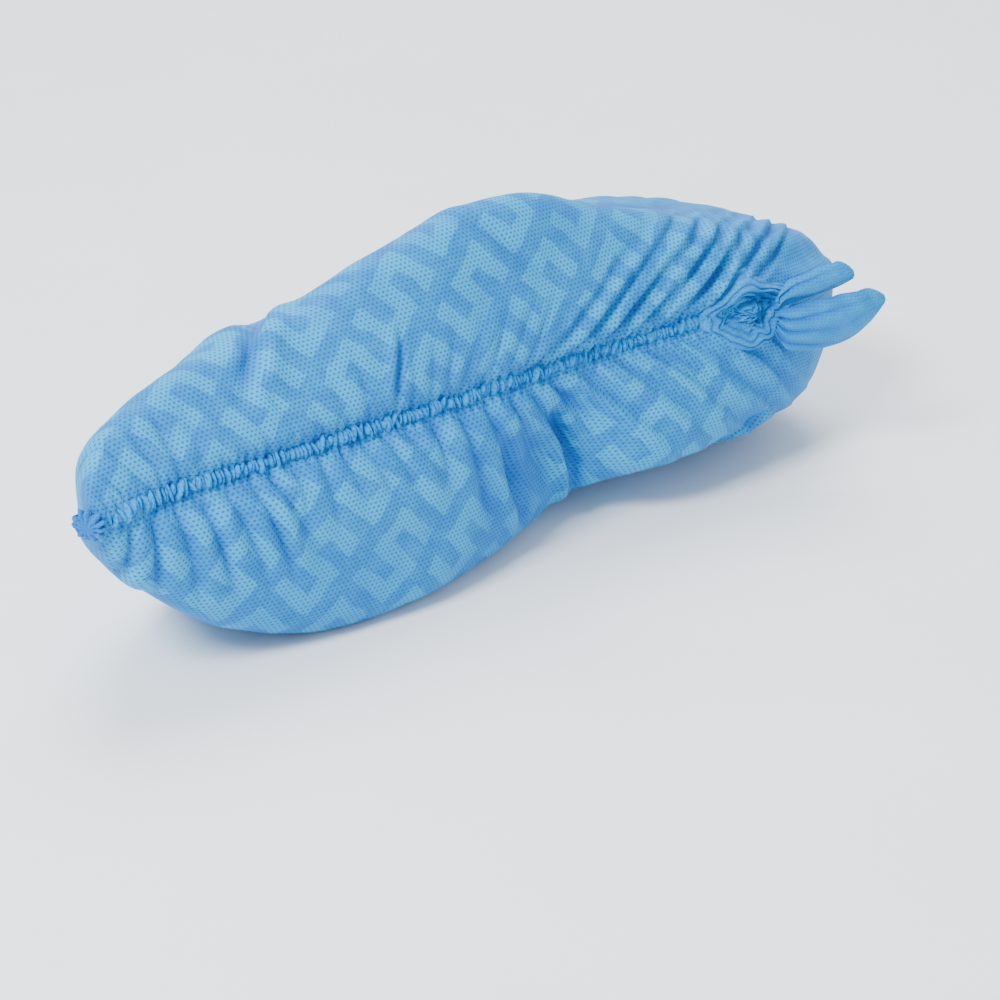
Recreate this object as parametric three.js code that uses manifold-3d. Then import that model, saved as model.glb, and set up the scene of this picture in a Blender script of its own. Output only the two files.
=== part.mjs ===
// Disposable shoe cover, lying on its side with its gathered sole seam facing -Y.
// Millimetres, +Z up. X runs from the toe (-X) to the heel (+X), the foot opening
// faces +Y, and the cloth rests on the plane z = 0.
import * as THREE from "three";
import * as BufferGeometryUtils from "three/addons/utils/BufferGeometryUtils.js";
import Module from "manifold-3d";

const wasm = await Module();
wasm.setup();

// Driving dimensions.
const WALL = 1.2;             // thickness of the cloth walls
const GAP = 0.3;              // space kept between neighbouring pieces
const SEAM_HEIGHT = 70;       // height of the sole seam over the table, at y = 0
const SEAM_FALL = 0.2;        // how far the seam's plane falls for each unit towards +Y
const STATIONS = 39;          // steps along the cover
const FAR = 500;              // reach of the cutting blocks, past every piece
const MERGE = 1e-4;           // corners nearer than this are one
const HALVINGS = 40;          // steps of each search by halving
const POLE_ROWS = 2;          // rows left out of the inside at both ends

// The steps from each point of a section's outline to the next: seam, face, ridge,
// shoulder, high back, low back, underside, foot, belly and back to the seam.
const OUTLINE_STEPS = [6, 4, 4, 3, 3, 3, 3, 4, 6];
const SHOULDER = 3;           // the places of the shoulder and the underside in it
const UNDERSIDE = 6;

// The back of a section follows from its shoulder by these shares of its height and depth.
const BACK = { highZ: 0.74, highY: 0.97, lowZ: 0.16, lowY: 0.96, underY: 0.62 };

// One row for each section, from the toe's end to the heel's end.
const SECTIONS = [
  { x: -168, seamY: 4, swell: 0, ridgeY: 5, ridgeZ: 72, shoulderY: 5, shoulderZ: 72,
    backY: 5, underZ: 66, footY: 4, footZ: 66, bellyY: 4, bellyZ: 66 },
  { x: -165, seamY: 2, swell: 1, ridgeY: 9, ridgeZ: 82, shoulderY: 15, shoulderZ: 80,
    backY: 18, underZ: 58, footY: 7, footZ: 57, bellyY: 3, bellyZ: 62 },
  { x: -150, seamY: 1, swell: 2, ridgeY: 18, ridgeZ: 92, shoulderY: 30, shoulderZ: 86,
    backY: 40, underZ: 38, footY: 6, footZ: 38, bellyY: 0, bellyZ: 52 },
  { x: -118, seamY: 0, swell: 3, ridgeY: 25, ridgeZ: 102, shoulderY: 44, shoulderZ: 91,
    backY: 60, underZ: 11, footY: 1, footZ: 14, bellyY: -5, bellyZ: 42 },
  { x: -80, seamY: 0, swell: 4, ridgeY: 27, ridgeZ: 106, shoulderY: 52, shoulderZ: 97,
    backY: 77, underZ: -3, footY: -2, footZ: 2, bellyY: -8, bellyZ: 38 },
  { x: -40, seamY: 0, swell: 5, ridgeY: 29, ridgeZ: 120, shoulderY: 60, shoulderZ: 96,
    backY: 91, underZ: -4, footY: -2, footZ: 2, bellyY: -8, bellyZ: 38 },
  { x: 0, seamY: 2, swell: 5, ridgeY: 31, ridgeZ: 129, shoulderY: 66, shoulderZ: 99,
    backY: 101, underZ: -4, footY: 6, footZ: 4, bellyY: -1, bellyZ: 40 },
  { x: 35, seamY: 4, swell: 5, ridgeY: 32, ridgeZ: 127, shoulderY: 70, shoulderZ: 99,
    backY: 106, underZ: -4, footY: 20, footZ: 6, bellyY: 10, bellyZ: 42 },
  { x: 62, seamY: 3, swell: 5, ridgeY: 32, ridgeZ: 118, shoulderY: 72, shoulderZ: 98,
    backY: 108, underZ: -4, footY: 14, footZ: 14, bellyY: -4, bellyZ: 32 },
  { x: 100, seamY: 2, swell: 5, ridgeY: 30, ridgeZ: 105, shoulderY: 74, shoulderZ: 96,
    backY: 108, underZ: -4, footY: 14, footZ: 14, bellyY: -6, bellyZ: 31 },
  { x: 135, seamY: 3, swell: 4, ridgeY: 27, ridgeZ: 93, shoulderY: 72, shoulderZ: 89,
    backY: 105, underZ: -4, footY: 16, footZ: 14, bellyY: -3, bellyZ: 32 },
  { x: 162, seamY: 9, swell: 3, ridgeY: 30, ridgeZ: 84, shoulderY: 66, shoulderZ: 80,
    backY: 97, underZ: 2, footY: 24, footZ: 14, bellyY: 8, bellyZ: 36 },
  { x: 180, seamY: 22, swell: 2, ridgeY: 38, ridgeZ: 74, shoulderY: 58, shoulderZ: 72,
    backY: 80, underZ: 22, footY: 34, footZ: 30, bellyY: 24, bellyZ: 46 },
  { x: 187, seamY: 44, swell: 0, ridgeY: 44, ridgeZ: 64, shoulderY: 44, shoulderZ: 64,
    backY: 44, underZ: 60, footY: 44, footZ: 60, bellyY: 44, bellyZ: 60 },
];

// The valley that the elastic pulls along the seam, and its share of the way round.
const VALLEY = { depth: 5, halfWidth: 7, toe: -150, heel: 132, fade: 14, share: 0.25 };

// The gathered band in the valley, its puckers counted from toe to heel.
const BAND = { toe: -158, heel: 118, halfHeight: 2.6, thickness: 1.8, puckers: 34, stepsEach: 3,
  ripple: 0.5, reach: 0.025 };

// The foot opening: an oval seen along Y, cut from a depth in the hollow, and the round of
// its elastic hem.
const MOUTH = { x: 58, z: 49, halfLength: 86, halfHeight: 34, cutFrom: 60, hem: 2.2, steps: 48,
  sides: 8 };

// The bunched cloth at the toe's end of the seam: a ruffled button, its axis outwards.
const TOE_BUNCH = { x: -170.6, y: 1.5, z: 67.5, axis: [-0.83, -0.55, -0.1], radius: 6.5, half: 2.4,
  ruffles: 9, ruffle: 0.16, around: 36, steps: 8 };

// The spare cloth past the heel's end of the seam, one row for each section of a flap.
const FLAP = { thickness: 1.2, steps: 18, across: 8, folds: 3, fold: 0.5 };
const UPPER_FLAP = [
  { x: 118.6, y: 3, low: 70.8, high: 74, curl: 0.3 },
  { x: 128, y: -4, low: 72, high: 77, curl: 1.5 },
  { x: 141, y: -8, low: 74.5, high: 81, curl: 2.5 },
  { x: 150, y: -11, low: 76, high: 83.5, curl: 2 },
  { x: 155, y: -13, low: 76.5, high: 80.5, curl: 1 },
];
const LOWER_FLAP = [
  { x: 118.6, y: 1.8, low: 66.4, high: 70.2, curl: 0.3 },
  { x: 127, y: -7, low: 58.5, high: 70.5, curl: 2 },
  { x: 140, y: -13, low: 55.5, high: 71.5, curl: 3.5 },
  { x: 150, y: -17, low: 56.5, high: 73, curl: 3.5 },
  { x: 159, y: -19, low: 60.5, high: 73.5, curl: 2 },
  { x: 166, y: -20, low: 65, high: 70, curl: 0.5 },
];

/** Interpolates one column of a table smoothly, t counting its rows. */
function column(table, name, t) {
  const last = table.length - 1;
  const i = Math.min(Math.floor(t), last - 1);
  const at = (k) => table[Math.min(Math.max(k, 0), last)][name];
  const f = t - i;
  const slopeA = (at(i + 1) - at(i - 1)) / 2;
  const slopeB = (at(i + 2) - at(i)) / 2;
  const f2 = f * f;
  const f3 = f2 * f;
  return (2 * f3 - 3 * f2 + 1) * at(i) + (f3 - 2 * f2 + f) * slopeA
    + (3 * f2 - 2 * f3) * at(i + 1) + (f3 - f2) * slopeB;
}

/** The height of the plane that the two panels meet on. */
function seamHeight(y) {
  return SEAM_HEIGHT - SEAM_FALL * y;
}

/** The closed curve of one section, from the seam up over the ridge and round. */
function sectionCurve(t) {
  const c = (name) => column(SECTIONS, name, t);
  const seam = new THREE.Vector3(0, c("seamY"), seamHeight(c("seamY")));
  const ridge = new THREE.Vector3(0, c("ridgeY"), c("ridgeZ"));
  const face = seam.clone().lerp(ridge, 0.5).add(new THREE.Vector3(0, -c("swell"), 0));
  const shoulderZ = c("shoulderZ");
  const underZ = c("underZ");
  const foot = new THREE.Vector3(0, c("footY"), c("footZ"));
  const middleY = (c("shoulderY") + foot.y) / 2;
  const backAt = (share) => middleY + (c("backY") - middleY) * share;
  const heightAt = (share) => underZ + (shoulderZ - underZ) * share;
  return new THREE.CatmullRomCurve3([
    seam,
    face,
    ridge,
    new THREE.Vector3(0, c("shoulderY"), shoulderZ),
    new THREE.Vector3(0, backAt(BACK.highY), heightAt(BACK.highZ)),
    new THREE.Vector3(0, backAt(BACK.lowY), heightAt(BACK.lowZ)),
    new THREE.Vector3(0, backAt(BACK.underY), underZ),
    foot,
    new THREE.Vector3(0, c("bellyY"), c("bellyZ")),
  ], true, "catmullrom", 0.5);
}

/** How far the valley along the seam is pulled in at x. */
function valleyAt(x) {
  const rise = THREE.MathUtils.smoothstep(x, VALLEY.toe - VALLEY.fade, VALLEY.toe + VALLEY.fade);
  const fall = THREE.MathUtils.smoothstep(x, VALLEY.heel - VALLEY.fade, VALLEY.heel + VALLEY.fade);
  return VALLEY.depth * rise * (1 - fall);
}

/** A point on the outside of the cloth: t counts the rows, v runs from 0 to 1 round. */
function skinPoint(t, v) {
  const p = sectionCurve(t).getPoint(v);
  p.x = column(SECTIONS, "x", t);
  const reach = (p.z - seamHeight(p.y)) / VALLEY.halfWidth;
  const front = Math.min(v, 1 - v) < VALLEY.share;
  if (front) p.y += valleyAt(p.x) * Math.exp(-reach * reach);
  p.z = Math.max(p.z, 0);
  return p;
}

/** A closed surface from a grid of points, with a pole at both ends. */
function closedGrid(rows) {
  const around = rows[1].length;
  const points = rows.slice(1, -1).flat();
  const first = points.push(rows[0][0]) - 1;
  const last = points.push(rows.at(-1)[0]) - 1;
  const count = rows.length - 2;
  const triangles = [];
  for (let i = 0; i < around; i += 1) {
    const j = (i + 1) % around;
    triangles.push(first, i, j);
    triangles.push(last, (count - 1) * around + j, (count - 1) * around + i);
    for (let k = 0; k + 1 < count; k += 1) {
      const a = k * around;
      const b = a + around;
      triangles.push(a + i, b + i, a + j, a + j, b + i, b + j);
    }
  }
  return { points, triangles };
}

/** A three.js geometry from points and triangles. */
function geometryOf({ points, triangles }) {
  const geometry = new THREE.BufferGeometry();
  geometry.setAttribute("position", new THREE.Float32BufferAttribute(
    points.flatMap((p) => [p.x, p.y, p.z]), 3));
  geometry.setIndex(triangles);
  return geometry;
}

/** A solid for cutting and joining, from a closed three.js geometry. */
function solidOf(geometry) {
  const bare = geometry.clone();
  bare.deleteAttribute("normal");
  bare.deleteAttribute("uv");
  const merged = BufferGeometryUtils.mergeVertices(bare, MERGE);
  return new wasm.Manifold(new wasm.Mesh({
    numProp: 3,
    vertProperties: new Float32Array(merged.attributes.position.array),
    triVerts: new Uint32Array(merged.index.array),
  }));
}

/** The geometry of a cut solid. */
function geometryFrom(solid) {
  const mesh = solid.getMesh();
  const geometry = new THREE.BufferGeometry();
  geometry.setAttribute("position", new THREE.BufferAttribute(mesh.vertProperties, 3));
  geometry.setIndex(new THREE.BufferAttribute(mesh.triVerts, 1));
  geometry.computeVertexNormals();
  return geometry;
}

/** The values of v round a section, closer together beside the seam. */
function stepsRound() {
  const parts = OUTLINE_STEPS.length;
  return OUTLINE_STEPS.flatMap((steps, part) => Array.from(
    { length: steps }, (_, i) => (part + i / steps) / parts));
}

/** The grid of the cloth's outside, the rows spaced evenly along the table. */
function skinRows() {
  const last = SECTIONS.length - 1;
  const round = stepsRound();
  return Array.from({ length: STATIONS + 1 }, (_, k) => {
    const t = (last * k) / STATIONS;
    return round.map((v) => skinPoint(t, v));
  });
}

/** The middle of a row of points. */
function middleOf(row) {
  const sum = row.reduce((total, p) => total.add(p), new THREE.Vector3());
  return sum.divideScalar(row.length);
}

/** The inside of the cloth: the same grid moved inwards, with blunter poles. */
function insideRows(rows) {
  const around = rows[0].length;
  const inner = rows.slice(POLE_ROWS, -POLE_ROWS).map((row, k) => row.map((p, i) => {
    const at = k + POLE_ROWS;
    const along = rows[at + 1][i].clone().sub(rows[at - 1][i]);
    const round = row[(i + 1) % around].clone().sub(row[(i + around - 1) % around]);
    return p.clone().addScaledVector(round.cross(along).normalize(), WALL);
  }));
  const pole = (row, end, wall) => {
    const middle = middleOf(row);
    return middle.setX((middle.x + end.x + wall) / 2);
  };
  return [
    [pole(inner[0], rows[0][0], WALL)],
    ...inner,
    [pole(inner.at(-1), rows.at(-1)[0], -WALL)],
  ];
}

/** The row position t whose section lies at x. */
function rowAt(x) {
  let low = 0;
  let high = SECTIONS.length - 1;
  for (let k = 0; k < HALVINGS; k += 1) {
    const middle = (low + high) / 2;
    if (column(SECTIONS, "x", middle) < x) low = middle;
    else high = middle;
  }
  return (low + high) / 2;
}

/** The point on the back of the cloth at x and height z. */
function backPoint(x, z) {
  const t = rowAt(x);
  let high = SHOULDER / OUTLINE_STEPS.length;
  let low = UNDERSIDE / OUTLINE_STEPS.length;
  for (let k = 0; k < HALVINGS; k += 1) {
    const middle = (low + high) / 2;
    if (skinPoint(t, middle).z > z) high = middle;
    else low = middle;
  }
  return skinPoint(t, (low + high) / 2);
}

/** A block filling everything on one side of the seam's plane: 1 is above it, -1 below. */
function halfSpace(side) {
  const block = new THREE.BoxGeometry(2 * FAR, 2 * FAR, FAR);
  block.translate(0, 0, side * (FAR + GAP) / 2);
  block.rotateX(-Math.atan(SEAM_FALL));
  block.translate(0, 0, SEAM_HEIGHT);
  return solidOf(block);
}

/** The oval of the foot opening, its edge moved outwards by a margin. */
function mouthOval(margin) {
  const oval = new THREE.Shape();
  oval.absellipse(MOUTH.x, MOUTH.z, MOUTH.halfLength + margin, MOUTH.halfHeight + margin,
    0, 2 * Math.PI);
  return oval;
}

/** The block that opens the foot opening, from inside the hollow out along +Y. */
function mouthCutter() {
  const cutter = new THREE.ExtrudeGeometry(mouthOval(MOUTH.hem + GAP), {
    depth: FAR, bevelEnabled: false, curveSegments: MOUTH.steps / 2,
  });
  cutter.rotateX(Math.PI / 2);
  cutter.translate(0, MOUTH.cutFrom + FAR, 0);
  return cutter;
}

/** A tube with a round section along a closed ring of points. */
function ringGeometry(centres, radius, sides) {
  const count = centres.length;
  const rows = centres.map((centre, k) => {
    const ahead = centres[(k + 1) % count].clone().sub(centres[(k + count - 1) % count]);
    const side = new THREE.Vector3(0, 1, 0).cross(ahead).normalize();
    const outwards = ahead.clone().cross(side).normalize();
    return Array.from({ length: sides }, (_, i) => {
      const a = (2 * Math.PI * i) / sides;
      return centre.clone()
        .addScaledVector(side, radius * Math.cos(a))
        .addScaledVector(outwards, radius * Math.sin(a));
    });
  });
  const triangles = [];
  for (let k = 0; k < count; k += 1) {
    for (let i = 0; i < sides; i += 1) {
      const a = k * sides;
      const b = ((k + 1) % count) * sides;
      const j = (i + 1) % sides;
      triangles.push(a + i, a + j, b + i, a + j, b + j, b + i);
    }
  }
  return geometryOf({ points: rows.flat(), triangles });
}

/** The two cloth walls: a hollow shell, opened at the mouth and parted at the seam. */
function panelSolids() {
  const rows = skinRows();
  const outside = solidOf(geometryOf(closedGrid(rows)));
  const inside = solidOf(geometryOf(closedGrid(insideRows(rows))));
  const shell = outside.subtract(inside).subtract(solidOf(mouthCutter()));
  return {
    upper: shell.intersect(halfSpace(1)),
    lower: shell.intersect(halfSpace(-1)),
  };
}

/** The gathered band: it lies on the cloth that is nearest to it at each step. */
function bandGeometry() {
  const steps = BAND.puckers * BAND.stepsEach;
  const rows = Array.from({ length: steps + 1 }, (_, k) => {
    const f = k / steps;
    const x = THREE.MathUtils.lerp(BAND.toe, BAND.heel, f);
    const t = rowAt(x);
    const near = [-1, 0, 1].map((side) => skinPoint(t, (side * BAND.reach + 1) % 1).y);
    const back = Math.min(...near) - GAP;
    const wave = BAND.ripple * Math.sin(2 * Math.PI * BAND.puckers * f);
    const front = back - BAND.thickness - wave;
    const half = BAND.halfHeight + wave;
    return [
      [back, -half], [(front + back) / 2, -half - BAND.ripple], [front, -half / 2],
      [front, half / 2], [(front + back) / 2, half + BAND.ripple], [back, half],
    ].map(([y, z]) => new THREE.Vector3(x, y, seamHeight(back) + z));
  });
  return geometryOf(cappedGrid(rows));
}

/** A closed surface from a grid of points, closed flat at both ends. */
function cappedGrid(rows) {
  const around = rows[0].length;
  const points = rows.flat();
  const triangles = [];
  for (let k = 0; k + 1 < rows.length; k += 1) {
    for (let i = 0; i < around; i += 1) {
      const j = (i + 1) % around;
      const a = k * around;
      const b = a + around;
      triangles.push(a + i, b + i, a + j, a + j, b + i, b + j);
    }
  }
  const last = (rows.length - 1) * around;
  for (let i = 1; i + 1 < around; i += 1) {
    triangles.push(0, i, i + 1, last, last + i + 1, last + i);
  }
  return { points, triangles };
}

/** One flap of spare cloth, curled across and lightly pleated along. */
function flapGeometry(table) {
  const last = table.length - 1;
  const rows = Array.from({ length: FLAP.steps + 1 }, (_, k) => {
    const t = (last * k) / FLAP.steps;
    const c = (name) => column(table, name, t);
    const edge = Array.from({ length: FLAP.across + 1 }, (_, i) => {
      const w = i / FLAP.across;
      const curl = c("curl") * (1 - (2 * w - 1) ** 2);
      const pleat = FLAP.fold * Math.sin(2 * Math.PI * FLAP.folds * w);
      return new THREE.Vector3(c("x"), c("y") - curl + pleat, c("low") + (c("high") - c("low")) * w);
    });
    const behind = edge.map((p) => p.clone().setY(p.y + FLAP.thickness)).reverse();
    return [...edge, ...behind];
  });
  return geometryOf(cappedGrid(rows));
}

/** The ruffled button of cloth at the toe. */
function toeBunchGeometry() {
  const rows = Array.from({ length: TOE_BUNCH.steps + 1 }, (_, k) => {
    const a = (Math.PI * k) / TOE_BUNCH.steps;
    return Array.from({ length: TOE_BUNCH.around }, (_, i) => {
      const b = (2 * Math.PI * i) / TOE_BUNCH.around;
      const ruffle = 1 + TOE_BUNCH.ruffle * Math.sin(TOE_BUNCH.ruffles * b);
      const r = TOE_BUNCH.radius * Math.sin(a) * ruffle;
      return new THREE.Vector3(r * Math.cos(b), r * Math.sin(b), TOE_BUNCH.half * Math.cos(a));
    });
  });
  const button = geometryOf(closedGrid(rows));
  const axis = new THREE.Vector3(...TOE_BUNCH.axis).normalize();
  button.applyQuaternion(new THREE.Quaternion().setFromUnitVectors(
    new THREE.Vector3(0, 0, 1), axis));
  button.translate(TOE_BUNCH.x, TOE_BUNCH.y, TOE_BUNCH.z);
  return button;
}

/** The elastic hem round the foot opening. */
function hemGeometry() {
  const centres = Array.from({ length: MOUTH.steps }, (_, k) => {
    const a = (2 * Math.PI * k) / MOUTH.steps;
    const x = MOUTH.x + MOUTH.halfLength * Math.cos(a);
    return backPoint(x, MOUTH.z + MOUTH.halfHeight * Math.sin(a));
  });
  return ringGeometry(centres, MOUTH.hem, MOUTH.sides);
}

const cloth = new THREE.MeshStandardMaterial({ color: 0x4db8f2, roughness: 0.8, metalness: 0 });
const gathered = new THREE.MeshStandardMaterial({ color: 0x1f9bf0, roughness: 0.8, metalness: 0 });

/** Adds one named piece to the cover. */
function addPiece(cover, name, geometry, material) {
  const mesh = new THREE.Mesh(geometry, material);
  mesh.name = name;
  cover.add(mesh);
}

const cover = new THREE.Group();
const panels = panelSolids();
addPiece(cover, "upper_panel", geometryFrom(panels.upper), cloth);
addPiece(cover, "lower_panel", geometryFrom(panels.lower), cloth);
addPiece(cover, "sole_elastic", bandGeometry(), gathered);
addPiece(cover, "mouth_elastic", hemGeometry(), gathered);
addPiece(cover, "tail_upper_flap", flapGeometry(UPPER_FLAP), cloth);
addPiece(cover, "tail_lower_flap", flapGeometry(LOWER_FLAP), cloth);
addPiece(cover, "toe_gather", toeBunchGeometry(), gathered);

// The origin is the middle of the footprint of the whole cover, on the table.
const extent = new THREE.Box3().setFromObject(cover);
const middle = extent.getCenter(new THREE.Vector3());
cover.position.set(-middle.x, -middle.y, -extent.min.z);

export default cover;
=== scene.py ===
"""Disposable shoe cover in printed nonwoven cloth, lying on its side with its sole seam in front."""
import logging
import math
from dataclasses import dataclass, field
from enum import Enum
from typing import Any, Callable, Sequence

import bmesh
import bpy
import numpy as np
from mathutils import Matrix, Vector


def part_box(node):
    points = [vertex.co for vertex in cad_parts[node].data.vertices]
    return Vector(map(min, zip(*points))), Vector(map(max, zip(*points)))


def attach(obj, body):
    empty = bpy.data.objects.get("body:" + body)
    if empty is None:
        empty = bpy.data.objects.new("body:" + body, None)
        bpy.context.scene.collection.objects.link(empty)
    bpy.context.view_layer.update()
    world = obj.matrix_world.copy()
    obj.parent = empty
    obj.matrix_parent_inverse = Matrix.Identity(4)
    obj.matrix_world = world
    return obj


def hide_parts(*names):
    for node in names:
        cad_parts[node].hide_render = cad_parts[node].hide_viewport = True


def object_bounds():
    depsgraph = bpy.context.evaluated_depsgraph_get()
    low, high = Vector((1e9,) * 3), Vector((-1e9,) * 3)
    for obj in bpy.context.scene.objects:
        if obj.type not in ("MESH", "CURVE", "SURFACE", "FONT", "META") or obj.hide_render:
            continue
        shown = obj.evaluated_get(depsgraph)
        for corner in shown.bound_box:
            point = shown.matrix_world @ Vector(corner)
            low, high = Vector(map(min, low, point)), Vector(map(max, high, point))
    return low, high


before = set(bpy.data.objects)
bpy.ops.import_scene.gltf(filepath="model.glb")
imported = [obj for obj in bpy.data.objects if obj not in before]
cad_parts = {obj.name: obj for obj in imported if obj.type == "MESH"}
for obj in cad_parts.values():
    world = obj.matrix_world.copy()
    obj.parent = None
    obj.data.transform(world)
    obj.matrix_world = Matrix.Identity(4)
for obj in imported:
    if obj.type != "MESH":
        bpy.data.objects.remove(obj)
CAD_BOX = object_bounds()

LOG = logging.getLogger("shoe_cover")
MM = 0.001
CLOTH_UV = "cloth"
# Points that lie closer than these, in metres, are one point.
DOUBLED = 1e-5
DEGENERATE = 1e-6
# The multipliers of the hash behind ripple_noise: first coordinate, second coordinate, seed, spread.
HASH = (127.1, 311.7, 74.7, 43758.5453)
# How often the search for a panel's edge halves its range.
HALVINGS = 28
# The share of the way round one outline that lies between two of its points.
NINTH = 1 / 9

# One row for each section of the cover, from the toe's end to the heel's end, in millimetres.
SECTION_COLUMNS = ("x", "seam_y", "swell", "ridge_y", "ridge_z", "shoulder_y", "shoulder_z",
                   "back_y", "under_z", "foot_y", "foot_z", "belly_y", "belly_z")
SECTIONS = np.array((
    (-168, 4, 0, 5, 72, 5, 72, 5, 66, 4, 66, 4, 66),
    (-165, 2, 1, 9, 82, 15, 80, 18, 58, 7, 57, 3, 62),
    (-150, 1, 2, 18, 92, 30, 86, 40, 38, 6, 38, 0, 52),
    (-118, 0, 3, 25, 102, 44, 91, 60, 11, 1, 14, -5, 42),
    (-80, 0, 4, 27, 106, 52, 97, 77, -3, -2, 2, -8, 38),
    (-40, 0, 5, 29, 120, 60, 96, 91, -4, -2, 2, -8, 38),
    (0, 2, 5, 31, 129, 66, 99, 101, -4, 6, 4, -1, 40),
    (35, 4, 5, 32, 127, 70, 99, 106, -4, 20, 6, 10, 42),
    (62, 3, 5, 32, 118, 72, 98, 108, -4, 14, 14, -4, 32),
    (100, 2, 5, 30, 105, 74, 96, 108, -4, 14, 14, -6, 31),
    (135, 3, 4, 27, 93, 72, 89, 105, -4, 16, 14, -3, 32),
    (162, 9, 3, 30, 84, 66, 80, 97, 2, 24, 14, 8, 36),
    (180, 22, 2, 38, 74, 58, 72, 80, 22, 34, 30, 24, 46),
    (187, 44, 0, 44, 64, 44, 64, 44, 60, 44, 60, 44, 60),
), dtype=float)


class Side(Enum):
    """The two cloth panels that meet in the sole seam."""

    UPPER = 1
    LOWER = -1


class Profile(Enum):
    """The shape across one fold."""

    ROUND = "round"
    CREASED = "creased"
    TUCKED = "tucked"


class Coordinates(Enum):
    """What a finish's pattern follows."""

    CLOTH = "the cloth's own lengths"
    PLACE = "the place in the object"


def smoothstep(value: np.ndarray, low: float, high: float) -> np.ndarray:
    """Rises smoothly from 0 to 1.

    Args:
        value: The numbers to weigh.
        low: Where the rise begins.
        high: Where it ends.

    Returns:
        The weights.
    """
    f = np.clip((value - low) / (high - low), 0, 1)
    return f * f * (3 - 2 * f)


def hermite(before: np.ndarray, a: np.ndarray, b: np.ndarray, after: np.ndarray,
            f: np.ndarray) -> np.ndarray:
    """A smooth step from a to b.

    Args:
        before: The value before a.
        a: The value at f = 0.
        b: The value at f = 1.
        after: The value after b.
        f: The share of the way.

    Returns:
        The values between.
    """
    slope_a = (b - before) / 2
    slope_b = (after - a) / 2
    f2, f3 = f * f, f * f * f
    ends = (2 * f3 - 3 * f2 + 1) * a + (f3 - 2 * f2 + f) * slope_a
    return ends + (3 * f2 - 2 * f3) * b + (f3 - f2) * slope_b


def between_rows(values: np.ndarray, t: np.ndarray) -> np.ndarray:
    """Smooth values between the rows of a table.

    Args:
        values: The table, or one column of it.
        t: The row places, where 0 is the first row.

    Returns:
        The values at t.
    """
    last = len(values) - 1
    i = np.minimum(np.floor(t).astype(int), last - 1)
    at = [values[np.clip(i + k, 0, last)] for k in (-1, 0, 1, 2)]
    return hermite(*at, (t - i).reshape(-1, *[1] * (values.ndim - 1)))


def run_along(line: np.ndarray) -> np.ndarray:
    """The distance of each point of a line from its first one, along the line."""
    return np.concatenate(([0], np.cumsum(np.linalg.norm(np.diff(line, axis=0), axis=1))))


def ripple_noise(a: np.ndarray, b: np.ndarray, seed: int) -> np.ndarray:
    """Smooth uneven values over two coordinates.

    Args:
        a: The first coordinate, one unit to a cell.
        b: The second coordinate.
        seed: Picks the pattern.

    Returns:
        Values from -1 to 1.
    """
    ia, ib = np.floor(a), np.floor(b)
    fa, fb = a - ia, b - ib
    fa, fb = fa * fa * (3 - 2 * fa), fb * fb * (3 - 2 * fb)

    def corner(da: int, db: int) -> np.ndarray:
        """The value at one corner of each cell."""
        h = np.sin((ia + da) * HASH[0] + (ib + db) * HASH[1] + seed * HASH[2]) * HASH[3]
        return 2 * (h - np.floor(h)) - 1

    low = corner(0, 0) * (1 - fa) + corner(1, 0) * fa
    high = corner(0, 1) * (1 - fa) + corner(1, 1) * fa
    return low * (1 - fb) + high * fb


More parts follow.
